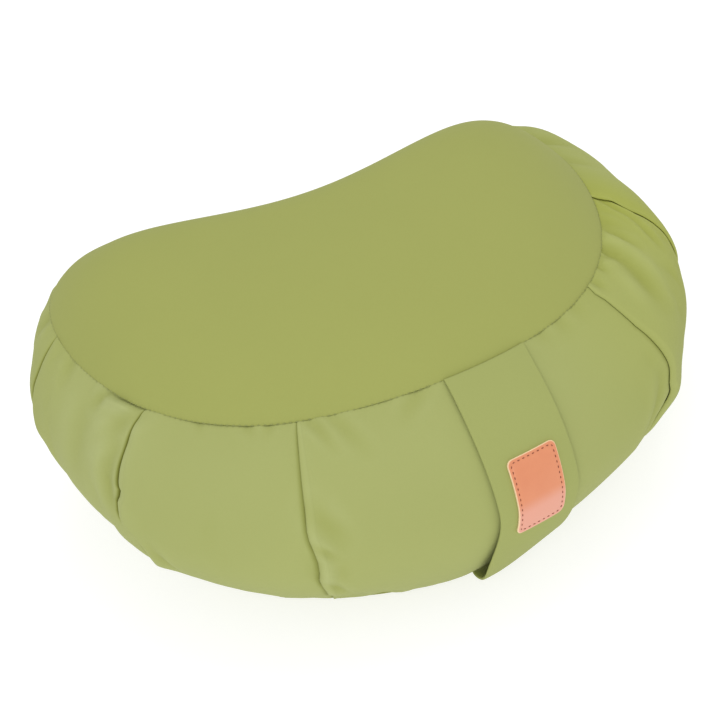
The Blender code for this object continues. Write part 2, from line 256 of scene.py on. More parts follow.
# %% Crease table
# from arc, theta to arc, theta, then half width and depth
CREASES = np.array([
    # right of the middle
    (8538, 4, 8665, 58, 28, 12), (8655, 10, 8810, 68, 40, 9), (8510, 104, 8610, 134, 50, 14),
    (8505, 136, 8575, 152, 22, 14), (8540, 156, 8535, 184, 40, -12),
    (8530, 184, 8590, 210, 30, 18),
    # left end
    (7605, 18, 7415, 80, 48, 14), (7545, 62, 7520, 102, 50, 17), (7520, 98, 7590, 136, 46, 17),
    (7281, 46, 7330, 14, 34, 18), (7330, 15, 7570, 10, 22, 18), (7350, 30, 7540, 26, 40, -12),
    (7240, 40, 7300, 130, 80, 12), (7790, 160, 7850, 200, 40, 16),
    # right end
    (2095, 26, 1966, 65, 30, 15), (1966, 63, 1815, 90, 34, 14), (1795, 6, 1710, 64, 30, 15),
    (1700, 8, 1580, 74, 52, -12), (1562, 5, 1558, 47, 50, 22), (1558, 44, 1400, 95, 72, 25),
    (1471, 3, 1482, 28, 21, 16), (1395, 6, 1380, 31, 21, 16), (1433, 6, 1430, 24, 20, 12),
    (1260, 10, 1240, 40, 30, 12), (1860, 10, 1800, 50, 36, 12), (1110, 135, 960, 185, 44, 14),
    # front puckers
    (9190, 10, 9040, 48, 40, 9), (8221, 4, 8260, 30, 26, 7), (8360, 4, 8340, 32, 26, 7),
    (7950, 4, 7980, 28, 26, 6), (700, 5, 740, 34, 40, 6), (860, 5, 850, 40, 44, 7),
    (1020, 5, 990, 34, 40, 6), (6930, 6, 6960, 50, 40, 10),
    # the far side
    (3080, 6, 3220, 75, 46, 18), (3200, 8, 3330, 62, 40, 12), (3960, 6, 4080, 78, 46, 18),
    (4890, 6, 5010, 75, 46, 18), (5810, 6, 5960, 75, 44, 18), (5930, 8, 6040, 60, 40, 12),
    (3620, 6, 3660, 60, 44, 12), (2850, 8, 2790, 70, 50, 14), (2560, 8, 2540, 60, 50, 10),
    (6280, 6, 6220, 60, 44, 12), (6450, 8, 6420, 80, 50, 12), (4080, 120, 4180, 180, 50, 14),
    # low on the band
    (4300, 190, 4480, 280, 60, 20), (5200, 200, 5050, 285, 60, 20),
    (3500, 190, 3620, 280, 60, 18), (6100, 190, 5980, 280, 60, 18),
    (7100, 220, 7160, 295, 50, 16), (8200, 245, 8260, 300, 50, 16),
    (8800, 250, 8740, 300, 50, 16), (1500, 210, 1560, 290, 50, 18),
    (2300, 195, 2240, 280, 60, 18), (2700, 200, 2800, 285, 55, 18),
]) / (1e4, 100, 1e4, 100, 1e4, 1e4)
# where the filling has run in or out: arc, theta, reach along, reach down, height
SETTLED = np.array([
    (700, 225, 480, 85, -26), (9150, 260, 320, 80, 8), (340, 245, 290, 60, -18),
    (8620, 255, 300, 50, -8), (3000, 60, 220, 60, 40), (2560, 105, 280, 80, -18),
    (6650, 120, 200, 50, 14), (1240, 175, 160, 45, 14), (8560, 252, 260, 50, -24),
    (1700, 142, 260, 45, 14), (6450, 105, 130, 30, -14), (7010, 150, 170, 50, -16),
    (7600, 185, 200, 50, 14), (7480, 174, 90, 30, -12), (7720, 195, 120, 30, 12),
    (6790, 136, 130, 34, 22), (1220, 174, 110, 30, 13), (1060, 186, 160, 40, -14),
    (2140, 122, 200, 40, 10),
]) / (1e4, 100, 1e4, 100, 1e4)


def around(value):
    """Distance along the seam, the short way round."""
    return np.mod(value + PERIMETER / 2, PERIMETER) - PERIMETER / 2


def by_place(arc, places, values):
    """Read off a table of places along the seam."""
    return np.interp(np.mod(arc, PERIMETER), places, values)


def hump(u, v):
    """cos^2 times cos^2, 1 in the middle and 0 where u or v is past 1."""
    u, v = np.clip(u, -1, 1), np.clip(v, -1, 1)
    return np.cos(math.pi / 2 * u) ** 2 * np.cos(math.pi / 2 * v) ** 2


def settle(arc, theta):
    """Sum of height * hump in arc and theta."""
    total = 0 * (arc + theta)
    for a0, th0, wide, deep, height in SETTLED:
        total = total + height * hump(around(arc - a0) / wide, (theta - th0) / deep)
    return total


def creases(points, arc):
    """Sum over creases of depth * taper * (0.45 ridge - valley) at each point.

    A crease of negative depth is a raised fold.
    """
    total = np.zeros(points.shape[:-1])
    s = np.linspace(0, 1, 30)
    for a0, th0, a1, th1, width, depth in CREASES:
        near = np.abs(around(arc - (a0 + a1) / 2)) < 0.045
        line = band(a0 + s * (a1 - a0), th0 + s * (th1 - th0))
        gap = np.linalg.norm(points[near][:, None, :] - line[None], axis=-1)
        d = gap.min(1) / width
        taper = np.sin(math.pi * np.clip(0.12 + 0.80 * s[gap.argmin(1)], 0, 1))
        total[near] += depth * taper * (0.45 * np.exp(-((d - 1.9) / 0.8) ** 2) - np.exp(-d * d))
    return total


def lumps(points, seed, size, height):
    """Sum of eight sine waves with random directions: a soft unevenness."""
    rng = np.random.default_rng(seed)
    waves = unit(rng.normal(size=(8, 3))) * (2 * math.pi / size) * rng.uniform(0.7, 1.4, (8, 1))
    phases = rng.uniform(0, 2 * math.pi, 8)
    return height * np.sin(points @ waves.T + phases).sum(-1) / 4


# %% [markdown]
# ## From arrays to objects
# Every piece is a grid of points whose rows are closed rings. One helper lists
# the quads between them, another makes an object of points and faces.

# %% Grid helpers
def ring_quads(index):
    """Quads between neighbouring rows of vertex numbers, closed round the columns."""
    near, far = index[..., :-1, :], index[..., 1:, :]
    return np.stack([near, np.roll(near, -1, -1), np.roll(far, -1, -1), far], -1).reshape(-1, 4)


def add_object(name, data):
    """An object for a mesh, camera or light, linked to the scene."""
    ob = bpy.data.objects.new(name, data)
    bpy.context.collection.objects.link(ob)
    return ob


def new_object(name, points, faces):
    """A mesh object of these points and faces."""
    mesh = bpy.data.meshes.new(name)
    mesh.from_pydata(np.reshape(points, (-1, 3)).tolist(), [], faces)
    return add_object(name, mesh)


def run_down(points):
    """Length along each column, from the first row."""
    step = np.linalg.norm(np.diff(points, axis=0), axis=-1)
    return np.concatenate([np.zeros((1, points.shape[1])), np.cumsum(step, 0)])


# %% [markdown]
# ## Letting the cotton settle
# The band is cut a little longer than its space and the hulls press it out, so
# it gathers at the seams and bellies between the pleats. A cloth simulation
# finds that, on a coarse copy without folds, with both seams and every fold line
# but the one under the strap held fast. The way each point moved is read back,
# capped and laid over the fine grid. Its broad part is dropped where the photo
# shows the outline.

# %% Cloth simulation
CLOTH_ROWS, CLOTH_FRAMES = 46, 20
CLOTH_PRESSURE, CLOTH_SPARE = 300.0, 0.015       # push of the filling, spare length
SINK_LIMIT, RISE_LIMIT = 0.0008, 0.0040          # how far a point may move, in metres
BROAD = 5.0                                      # cells; wider than this is the belly
# share of the wrinkles and of the belly that is kept, by place along the seam
WRINKLE_ARC = (0.005, 0.012, 0.052, 0.066, 0.112, 0.13, 0.21, 0.24, 0.31, 0.33, 0.66,
               0.76, 0.78, 0.91)
WRINKLE_SHARE = (0.15, 0.0, 0.0, 0.4, 0.4, 1.0, 1.0, 0.5, 0.5, 1.0, 1.0, 0.6, 0.35, 0.35)
BELLY_ARC, BELLY_SHARE = (0.3, 0.35, 0.58, 0.64), (0.0, 0.7, 0.7, 0.0)


def even_rows():
    """A column of thetas whose rows lie evenly spaced down the band."""
    fine = np.linspace(0.0, math.pi, 400)
    places = np.linspace(0, PERIMETER, 24, endpoint=False)[None, :]
    points = band(places, fine[:, None] + 0 * places)
    steps = np.linalg.norm(np.diff(points, axis=0), axis=-1).mean(1)
    run = np.concatenate([[0], np.cumsum(steps)])
    return np.interp(np.linspace(0, run[-1], CLOTH_ROWS), run, fine)[:, None]


def inflate(points, held):
    """Points of the closed band after its cloth has settled."""
    index = np.arange(points[..., 0].size).reshape(points.shape[:2])
    quads = ring_quads(index)[:, [0, 3, 2, 1]]
    ob = new_object("settling_cloth", points,
                    quads.tolist() + [index[0].tolist(), index[-1][::-1].tolist()])
    ob.vertex_groups.new(name="sewn").add(index[held].tolist(), 1.0, "REPLACE")
    cloth = ob.modifiers.new("cloth", "CLOTH")
    settings = cloth.settings
    settings.quality = 5
    settings.mass = 0.15
    settings.tension_stiffness = settings.compression_stiffness = 25
    settings.shear_stiffness = 8
    settings.bending_stiffness = 1
    settings.use_pressure = True
    settings.uniform_pressure_force = CLOTH_PRESSURE
    settings.shrink_min = -CLOTH_SPARE
    settings.vertex_group_mass = "sewn"
    settings.effector_weights.gravity = 0
    cloth.collision_settings.use_collision = False
    for step in range(1, CLOTH_FRAMES + 1):
        bpy.context.scene.frame_set(step)
    settled = ob.evaluated_get(bpy.context.evaluated_depsgraph_get()).to_mesh()
    moved = np.empty(points.size, dtype=np.float32)
    settled.vertices.foreach_get("co", moved)
    mesh = ob.data
    bpy.data.objects.remove(ob)
    bpy.data.meshes.remove(mesh)
    bpy.context.scene.frame_set(1)
    return moved.reshape(points.shape).astype(float)


def blurred(values, reach):
    """Gaussian mean over reach cells, round the columns."""
    taps = np.arange(-int(3 * reach) - 1, int(3 * reach) + 2)
    weights = np.exp(-0.5 * (taps / reach) ** 2)
    weights /= weights.sum()
    rows = np.arange(values.shape[0])
    down = sum(w * values[np.clip(rows + k, 0, len(rows) - 1)] for k, w in zip(taps, weights))
    return sum(w * np.roll(down, -k, axis=1) for k, w in zip(taps, weights))


def spline_weights(f):
    """The cubic B-spline's four weights at fraction f between two cells."""
    return ((1 - f) ** 3 / 6, (3 * f ** 3 - 6 * f ** 2 + 4) / 6,
            (-3 * f ** 3 + 3 * f ** 2 + 3 * f + 1) / 6, f ** 3 / 6)


def read_cells(values, row, column):
    """Cubic B-spline through a table of cells, at fractional rows and columns."""
    r0, c0 = np.floor(row).astype(int), np.floor(column).astype(int)
    total = 0.0
    for i, across in enumerate(spline_weights(row - r0)):
        r = np.clip(r0 + i - 1, 0, values.shape[0] - 1)
        for j, along in enumerate(spline_weights(column - c0)):
            total = total + across * along * values[r, np.mod(c0 + j - 1, values.shape[1])]
    return total


# %% Run it
cloth_theta = even_rows()
fraction = np.arange(CLOTH_COLUMNS)[None] / CLOTH_COLUMNS
cloth_arc = np.concatenate([start + fraction * (stop - start)
                            for _, _, start, stop in pleat_pairs(cloth_theta)], 1)
cloth_start = band(cloth_arc, cloth_theta + 0 * cloth_arc)
held = np.zeros(cloth_arc.shape, dtype=bool)
held[[0, -1]] = True
held[:, CLOTH_COLUMNS::CLOTH_COLUMNS] = True        # every fold but the one under the strap
moved = inflate(cloth_start + PLACE, held) - PLACE - cloth_start
risen = (moved * band_normal(cloth_arc, cloth_theta + 0 * cloth_arc)).sum(-1)
print("cloth moved %.1f to %.1f mm, %.2f mm in the mean" % (
    1000 * risen.min(), 1000 * risen.max(), 1000 * risen.mean()))
risen = np.clip(risen, -SINK_LIMIT, RISE_LIMIT)
belly = blurred(risen, BROAD)
risen = ((risen - belly) * by_place(cloth_arc, WRINKLE_ARC, WRINKLE_SHARE)
         + belly * by_place(cloth_arc, BELLY_ARC, BELLY_SHARE))

# %% [markdown]
# ## Crown and sole
# The panels close the band. A panel's rings shrink from its seam to the line
# along the middle of the crescent. Its height depends on the ring alone, so the
# crown stays smooth over that line, where the last ring is welded shut.

# %% Panel surfaces
# where the crown is a little fuller or flatter: arc, k, reach along, reach in, height
CROWN_SETTLED = [(0.6, 0.1, 0.045, 0.26, 0.0024), (0.312, 0.1, 0.03, 0.24, 0.0014),
                 (0.405, 0.05, 0.04, 0.3, -0.0012), (0.48, 0.05, 0.05, 0.3, -0.001)]
SOLE_RISE = 0.2     # share of the sole's width over which it rises to its seam


def ring(edge, seam_x, k, z):
    """Edge (1-k) + middle line k, with mx = 0.55 x and my = 1.95 mx^2 + 0.0115."""
    mx = 0.55 * seam_x
    my = 1.95 * mx ** 2 + 0.0115
    return np.stack([edge[..., 0] * (1 - k) + mx * k, edge[..., 1] * (1 - k) + my * k,
                     z + 0 * mx], -1)


def crown(arc, k):
    """A ring at seam height + crown (1 - (1-k)^n) + humps."""
    edge = band(arc, 0 * arc)
    z = TOP_SEAM_Z + CROWN * (1 - (1 - k) ** CROWN_FULLNESS)
    for a0, k0, wide, deep, height in CROWN_SETTLED:
        fuller = hump(around(arc - a0) / wide, (k - k0) / deep * (k > 0))
        z = z + height * min(1.0, 40 * k) * fuller
    return ring(edge, edge[..., 0], k, z)


def sole(arc, k):
    """A ring of the bottom seam at seam height (1 - k / rise)^2, then at 0."""
    z = BOTTOM_SEAM_Z * (1 - np.minimum(k / SOLE_RISE, 1)) ** 2
    return ring(band(arc, 0 * arc + math.pi), band(arc, 0 * arc)[..., 0], k, z)


# %% [markdown]
# ## From grids to meshes
# One helper turns a grid of points into a mesh. UV maps in metres keep the
# weave at its real size, and marks are numbers that a finish can read.

# %% Mesh helper
def skin(name, points, uv, marks, closed=False):
    """Rings of quads between rows of points; closed adds end faces."""
    rows, cols = points.shape[:2]
    index = np.arange(rows * cols).reshape(rows, cols)
    quads = ring_quads(index)
    ends = [index[0][::-1].tolist(), index[-1].tolist()] if closed else []
    ob = new_object(name, points + PLACE, quads.tolist() + ends)
    mesh = ob.data
    loops = np.empty(len(mesh.loops), dtype=np.int32)
    mesh.loops.foreach_get("vertex_index", loops)
    last = np.zeros(len(loops), dtype=bool)     # far corners of the faces at the join
    last[:quads.size] = np.repeat(quads[:, 1] % cols == 0, 4)
    last &= loops % cols == 0
    for layer_name, values in uv.items():
        flat = values.reshape(-1, 2)[loops]
        flat[last, 0] += values[0, -1, 0] + values[0, 1, 0] - 2 * values[0, 0, 0]
        mesh.uv_layers.new(name=layer_name).data.foreach_set(
            "uv", flat.astype(np.float32).ravel())
    for mark_name, values in marks.items():
        mark = mesh.attributes.new(mark_name, "FLOAT", "POINT")
        mark.data.foreach_set("value", values.astype(np.float32).ravel())
    if closed:
        mesh.flip_normals()
    mesh.shade_smooth()
    mesh.update()
    print(name, len(mesh.vertices), "points")
    return ob


# %% [markdown]
# ## The pleated body
# Near each seam the band rolls in, which leaves the fine groove that shows as a
# line in the photo. Under the panels it closes, so the body is one padded form.

# %% Strap clearance
STRAP_ARC, STRAP_WIDTH = 0.0090, 0.0490
STRAP_SLACK, STRAP_FADE, STRAP_HOLLOW = 0.0036, 0.95, 0.0036
STRAP_DRIFT = -0.0075      # it wanders left as it goes under


def strap_hollow(arc, theta):
    """The band gives behind the slack half of the strap, by two humps' product."""
    offset = around(arc - STRAP_ARC - STRAP_WIDTH * 0.42)
    return STRAP_HOLLOW * window(offset, -0.036, 0.026) * window(theta, 1.6, 3.1)


# %% Seams and painted warm light
ROLL_DEEP, ROLL_WIDE = 0.0009, 0.0009      # how the band rolls into its seams
# the top seam is drawn in tighter at some places than at others
ROLL_ARC = (0.005, 0.06, 0.115, 0.15, 0.21, 0.3, 0.6, 0.668, 0.735, 0.748, 0.762, 0.772,
            0.815, 0.832, 0.849, 0.858, 0.91)
ROLL_SHARE = (0.55, 0.6, 0.9, 0.6, 0.8, 0.6, 0.6, 0.28, 0.32, 1.15, 1.0, 0.5,
              0.5, 1.1, 1.0, 0.5, 0.5)
# painted light: less blue is painted on the right and the back, a warm light that
# stands in for the light from above there
WARM_LIGHT_ARC = (0.06, 0.1, 0.13, 0.165, 0.19, 0.215, 0.24, 0.3, 0.34, 0.6, 0.69, 0.73)
WARM_LIGHT_SHARE = (0.0, 0.1, 0.16, 0.22, 0.34, 0.42, 0.2, 0.15, 0.08, 0.06, 0.05, 0.0)
# hidden rings that close the body under its panels: how far in and how deep
UNDER_TOP = ((0.50, 0.0040), (0.25, 0.0042), (0.10, 0.0040), (0.04, 0.0032), (0.012, 0.0022))
UNDER_SOLE = ((0.012, 0.0022), (0.05, 0.0030), (0.12, 0.0034), (0.25, 0.0034))


def hidden_rows(values, mode="constant"):
    """A mark of the band, with rows for the hidden rings."""
    return np.pad(values, ((len(UNDER_TOP), len(UNDER_SOLE)), (0, 0)), mode)


# %% Build the body
arc, relief, theta, shade, cloth_column, folded_edge = side_grid()
base = band(arc, theta)
depth = run_down(base)
height_left = depth[-1:] - depth
roll_in = ROLL_DEEP * (by_place(arc, ROLL_ARC, ROLL_SHARE) * np.exp(-depth / ROLL_WIDE)
                       + np.exp(-height_left / ROLL_WIDE))
calm = 1 - window(np.mod(arc + 0.02, PERIMETER), 0.012, 0.095)     # flat under the strap
relief = relief + settle(arc, theta) - strap_hollow(arc, theta) - roll_in
cloth_row = np.interp(theta, cloth_theta[:, 0], np.arange(CLOTH_ROWS))
gathers = read_cells(risen, cloth_row, cloth_column)
print("settled cotton adds %.2f to %.2f mm" % (1000 * gathers.min(), 1000 * gathers.max()))
wrinkles = creases(base, arc) + 0.6 * gathers
relief = relief + 0.4 * gathers + wrinkles + calm * lumps(base, 5, 0.060, 0.0005)
body_points = np.concatenate([
    [crown(arc[0], k) - (0, 0, drop) for k, drop in UNDER_TOP],
    base + relief[..., None] * band_normal(arc, theta),
    [sole(arc[-1], k) + (0, 0, drop) for k, drop in UNDER_SOLE]])
body_down = run_down(body_points)
body_uv = np.stack([np.broadcast_to(arc[0], body_down.shape), body_down], -1)
# painted warm light, weaker low on the band
painted_warm_light = by_place(arc[0], WARM_LIGHT_ARC, WARM_LIGHT_SHARE) * (1 - 0.4 * smooth(theta, 1.0, 1.8))
# painted light and shade: wrinkle valleys are painted darker, and their ridges,
# the folded edges and the cloth at the left end are painted paler
painted_relief_light = wrinkles / 0.002 + 0.9 * folded_edge + 0.5 * window(np.mod(arc, PERIMETER), 0.67, 0.79)
# fold_shade is painted shade in the crevices beside the folds
body = skin("pleated_body", body_points, {"cloth": body_uv}, {
    "seam_gap": hidden_rows(np.minimum(depth, height_left)), "fold_shade": hidden_rows(shade),
    "painted_relief_light": hidden_rows(np.clip(painted_relief_light, -1, 1)), "painted_warm_light": hidden_rows(painted_warm_light, "edge")}, closed=True)

# %% [markdown]
# ## Top and bottom panels
# The crescents are stretched over the filling, and roll into the seam's groove
# too. Solidify gives them the thickness of the cloth.

# %% Build the panels
WELD = 3e-6     # metres; nearer points of the middle line are one


def panel(name, surface, rings, columns, side):
    """Welded crescent: rings k of a surface, rolled in at its edge."""
    t = np.linspace(0, 2 * math.pi, columns, endpoint=False)
    ring_arc = np.interp(t, ANGLES, ARCS)
    points = np.stack([surface(ring_arc, k) for k in rings])
    away = run_down(points)
    roll = by_place(ring_arc, ROLL_ARC, ROLL_SHARE) * np.exp(-away / ROLL_WIDE)
    points[..., 2] -= side * ROLL_DEEP * roll
    if side > 0:
        points[..., 2] += lumps(points, 11, 0.120, 0.0006) * smooth(away, 0.0, 0.03)
    along = np.stack([np.broadcast_to(ring_arc, away.shape), away], -1)
    ob = skin(name, points, {"cloth": points[..., :2].copy(), "along": along}, {"seam_gap": away})
    bm = bmesh.new()
    bm.from_mesh(ob.data)
    bmesh.ops.remove_doubles(bm, verts=bm.verts, dist=WELD)
    print(name, "rim edges", sum(edge.is_boundary for edge in bm.edges), "of", columns)
    bmesh.ops.recalc_face_normals(bm, faces=bm.faces)
    if (sum(f.normal.z for f in bm.faces) > 0) != (side > 0):
        bmesh.ops.reverse_faces(bm, faces=bm.faces)
    bm.to_mesh(ob.data)
    bm.free()
    solid = ob.modifiers.new("cloth thickness", "SOLIDIFY")
    solid.thickness = 0.0012
    solid.offset = -1.0
    return ob


top = panel("crowned_top", crown, np.linspace(0, 1, 46) ** 1.9, 720, 1)
bottom = panel("flat_sole", sole, np.linspace(0, 1, 26) ** 2.2, 480, -1)

# %% [markdown]
# ## The carry strap
# The strap lies on the band under the seam and hangs a little off it lower
# down, more at its left edge, so its shadow is deepest there. Its section is a
# flat loop with round edges, carried down the band row by row.

# %% Strap surface
STRAP_THICK, STRAP_OFF = 0.0015, 0.0004     # off: its stand-off from the cloth below
STRAP_TOP, STRAP_FOOT = 0.035, 0.012        # how short of either seam it ends, in theta


def panel_relief(place, theta):
    """Height of the plain pleated band at one place, without the fold's Z."""
    for pleat, following in zip(PLEATS, PLEATS[1:] + PLEATS[:1]):
        start, stop = pleat["line"][0], following["line"][0]
        f = ((place - start) % PERIMETER) / ((stop - start) % PERIMETER)
        if f < 1:
            return (step_height(pleat, theta) * pleat["proud"] * (1 - f) ** 5
                    - PANEL_DIP * 4 * f * (1 - f) * np.sin(theta))


def strap_point(across, theta, height):
    """Band point at arc + across / stretch, lifted by pleats, slack, a wave and height."""
    stretch = np.linalg.norm(band(STRAP_ARC + 0.025 + 0 * theta, theta)
                             - band(STRAP_ARC + 0.015 + 0 * theta, theta), axis=-1) / 0.010
    below = np.linspace(STRAP_ARC - 0.002, STRAP_ARC + STRAP_WIDTH + 0.002, 13)
    tallest = np.max([panel_relief(place, theta) for place in below], 0)
    slack = STRAP_SLACK * window(theta, 1.75, 3.1) * (1 - STRAP_FADE * across / STRAP_WIDTH)
    place = STRAP_ARC + STRAP_DRIFT * smooth(theta, 1.5, 2.3) + across / stretch
    wave = 0.00035 * np.sin(theta * 5.1 + 60 * across) * smooth(theta, 0.1, 0.6)
    into_seams = 0.0016 * (np.exp(-np.abs(theta - STRAP_TOP) / 0.05)
                           + np.exp(-np.abs(math.pi - STRAP_FOOT - theta) / 0.06))
    up = tallest + settle(place, theta) + slack + wave - into_seams + STRAP_OFF + height
    return band(place, theta) + up[..., None] * band_normal(place, theta)


flat = np.linspace(0, 1, 22)
turn = np.linspace(-math.pi / 2, math.pi / 2, 7)[1:-1]
half = STRAP_THICK / 2
section_across = np.concatenate([flat * STRAP_WIDTH, STRAP_WIDTH + half * np.cos(turn),
                                 flat[::-1] * STRAP_WIDTH, -half * np.cos(turn)])
section_up = np.concatenate([STRAP_THICK + 0 * flat, half - half * np.sin(turn),
                             0 * flat, half + half * np.sin(turn)])
strap_theta = np.linspace(STRAP_TOP, math.pi - STRAP_FOOT, 112)
grid_across, grid_theta = np.meshgrid(section_across, strap_theta)
strap_points = strap_point(grid_across, grid_theta, section_up)
strap_run = run_down(strap_points)
round_section = np.cumsum(np.abs(np.gradient(section_across)))
strap_uv = np.stack([np.broadcast_to(round_section, strap_run.shape), strap_run], -1)
strap = skin("carry_strap", strap_points, {"cloth": strap_uv},
             {"seam_gap": 0.02 + 0 * strap_run}, closed=True)

# %% [markdown]
# ## The leather patch
# A rounded rectangle of thick leather, with a shallow trough pressed along the
# line of stitching. Its rings run from the middle of the back, round the cut
# edge and over the bare face to its middle.

# %% Patch surface
PATCH_LENGTH, PATCH_WIDTH, PATCH_CORNER, PATCH_THICK = 0.0430, 0.0297, 0.0034, 0.0015
PATCH_ACROSS, PATCH_DOWN, PATCH_TURN, PATCH_SKEW = 0.02485, 0.0759, 0.03, 0.054
PATCH_OFF = 0.00005        # its stand-off from the strap
STITCH_INSET = 0.0020      # from the cut edge to the line of stitching


def rounded_outline(length, width, corner, count):
    """Points evenly spaced round a rectangle whose corners are quarter circles."""
    angle = np.linspace(0, math.pi / 2, 24) + np.arange(4)[:, None] * math.pi / 2
    middle_x = (width / 2 - corner) * np.array([1, -1, -1, 1])[:, None]
    middle_y = (length / 2 - corner) * np.array([1, 1, -1, -1])[:, None]
    x = (middle_x + corner * np.cos(angle)).ravel()
    y = (middle_y + corner * np.sin(angle)).ravel()
    x, y = np.append(x, x[0]), np.append(y, y[0])
    run = np.concatenate([[0], np.cumsum(np.hypot(np.diff(x), np.diff(y)))])
    at = np.linspace(0, run[-1], count, endpoint=False)
    return np.interp(at, run, x), np.interp(at, run, y)


fine_theta = np.linspace(0.05, math.pi - 0.05, 400)
fine_line = strap_point(PATCH_ACROSS + 0 * fine_theta, fine_theta, STRAP_THICK)
fine_run = run_down(fine_line[:, None])[:, 0]


def on_strap(x, y, height):
    """Point of the strap's face, x across and y down from the patch's middle."""
    turned_x = x * math.cos(PATCH_TURN) - y * math.sin(PATCH_TURN)
    turned_y = y * math.cos(PATCH_TURN) + x * (math.sin(PATCH_TURN) - PATCH_SKEW)
    theta = np.interp(PATCH_DOWN + turned_y, fine_run, fine_theta)
    return strap_point(PATCH_ACROSS + turned_x, theta, STRAP_THICK + PATCH_OFF + height)


# ring by ring, over the back, the cut edge, the bevel, the border and the face:
# how far in from the cut edge, how much smaller, and how high
BEVEL = 0.0004
round_over = np.linspace(0, math.pi / 2, 5)
border = np.linspace(0.0006, 0.0046, 18)
trough = 0.00026 * np.exp(-((border - STITCH_INSET) / 0.0006) ** 2)
inset = np.concatenate([np.zeros(6), BEVEL * (1 - np.cos(round_over)), border,
                        np.full(12, border[-1])])[:, None]
scale = np.concatenate([[0.04, 0.4, 0.8, 0.97], np.ones(25), np.linspace(0.93, 0.03, 12)])[:, None]
lift = np.concatenate([np.zeros(5), [0.5 * PATCH_THICK],
                       PATCH_THICK - BEVEL + BEVEL * np.sin(round_over),
                       PATCH_THICK - trough, np.full(12, PATCH_THICK)])[:, None]
outline_x, outline_y = rounded_outline(PATCH_LENGTH, PATCH_WIDTH, PATCH_CORNER, 200)
patch_x = outline_x * scale * (1 - inset / (PATCH_WIDTH / 2))
patch_y = outline_y * scale * (1 - inset / (PATCH_LENGTH / 2))
cut_edge = np.exp(-(inset / 0.00035) ** 2) * (np.arange(len(inset))[:, None] > 3)
# painted sheen: the lower part of the face is painted paler and pinker
patch = skin("leather_patch", on_strap(patch_x, patch_y, lift),
             {"cloth": np.stack([patch_x, patch_y], -1)},
             {"cut_edge": cut_edge + 0 * patch_x, "painted_sheen": 0.9 * smooth(patch_y, 0.0015, 0.0105)},
             closed=True)

# %% [markdown]
# ## Stitches
# Every stitch is a short, fat grain of thread that dips at both ends. It is
# worked out once and laid along the line by arrays.

# %% Thread grains
def thread_line(name, centres, ahead, out, length, radius):
    """Grain: x = L/2 cos a, ring radius r sin^0.6 a, dipping with x squared."""
    a = np.linspace(0.12, math.pi - 0.12, 7)[:, None]
    b = np.linspace(0, 2 * math.pi, 7)[None, :-1]
    gx = length / 2 * np.cos(a) + 0 * b
    gy = radius * np.sin(a) ** 0.6 * np.cos(b)
    gz = radius * np.sin(a) ** 0.6 * np.sin(b) - 1.6 * radius * (2 * gx / length) ** 2
    side = unit(np.cross(out, ahead))
    grain = (gx[..., None] * ahead[:, None, None] + gy[..., None] * side[:, None, None]
             + gz[..., None] * out[:, None, None] + centres[:, None, None])
    index = np.arange(gx.size * len(centres)).reshape(grain.shape[:3])
    ends = index[:, 0, ::-1].tolist() + index[:, -1].tolist()
    ob = new_object(name, grain + PLACE, ring_quads(index).tolist() + ends)
    bm = bmesh.new()
    bm.from_mesh(ob.data)
    bmesh.ops.recalc_face_normals(bm, faces=bm.faces)
    bm.to_mesh(ob.data)
    bm.free()
    ob.data.shade_smooth()
    print(name, len(centres), "stitches")
    return ob


# %% Patch stitching
sx, sy = rounded_outline(PATCH_LENGTH - 2 * STITCH_INSET, PATCH_WIDTH - 2 * STITCH_INSET,
                         PATCH_CORNER - 0.0016, 42)
level = PATCH_THICK - 0.00012
centres = on_strap(sx, sy, level)
ahead = unit(np.roll(centres, -1, 0) - np.roll(centres, 1, 0))
out = unit(on_strap(sx, sy, level + 0.001) - centres)
patch_thread = thread_line("patch_stitches", centres, ahead, out, 0.0018, 0.00027)

# %% Seam stitching
STITCH_PITCH = 0.0034
stitch_arc = np.arange(0, PERIMETER, STITCH_PITCH)
seam_at = crown(stitch_arc, 0.0)
seam_at[:, 2] -= 0.00045 * by_place(stitch_arc, ROLL_ARC, ROLL_SHARE)
seam_on = crown(stitch_arc + 0.0005, 0.0) - crown(stitch_arc - 0.0005, 0.0)
seam_out = unit(band_normal(stitch_arc, 0 * stitch_arc) + (0, 0, 0.8))
seam_thread = thread_line("seam_stitches", seam_at, unit(seam_on), seam_out, 0.0019, 0.00030)

# %% [markdown]
# ## Finishes
# All the cloth is one plain-woven cotton. Its weave, its uneven dye and the
# puckers beside a seam are node groups, which hand out values only: each
# material keeps its own shader.

# %% Node helpers
def feed(tree, node, inputs):
    """Link or set a node's inputs; returns the node."""
    for key, value in inputs.items():
        if isinstance(value, bpy.types.NodeSocket):
            tree.links.new(value, node.inputs[key])
        else:
            node.inputs[key].default_value = value
    return node


def math_node(tree, operation, *values):
    """A Math node's output, from sockets or numbers."""
    node = tree.nodes.new("ShaderNodeMath")
    node.operation = operation
    return feed(tree, node, dict(enumerate(values))).outputs[0]


def line(tree, value, slope, start):
    """value * slope + start."""
    return math_node(tree, "MULTIPLY_ADD", value, slope, start)


def product(tree, *values):
    """All the values multiplied together."""
    total = values[0]
    for value in values[1:]:
        total = math_node(tree, "MULTIPLY", total, value)
    return total


def mix_colour(tree, share, first, second, blend="MIX"):
    """Two colours, mixed."""
    node = tree.nodes.new("ShaderNodeMix")
    node.data_type = "RGBA"
    node.blend_type = blend
    return feed(tree, node, {0: share, 6: first, 7: second}).outputs[2]


def noise(tree, vector, scale, detail):
    """A Noise texture's value."""
    return feed(tree, tree.nodes.new("ShaderNodeTexNoise"), {
        "Vector": vector, "Scale": scale, "Detail": detail, "Roughness": 0.55}).outputs[0]


def mark(tree, name):
    """The value of a mark that the mesh carries."""
    node = tree.nodes.new("ShaderNodeAttribute")
    node.attribute_name = name
    return node.outputs["Fac"]


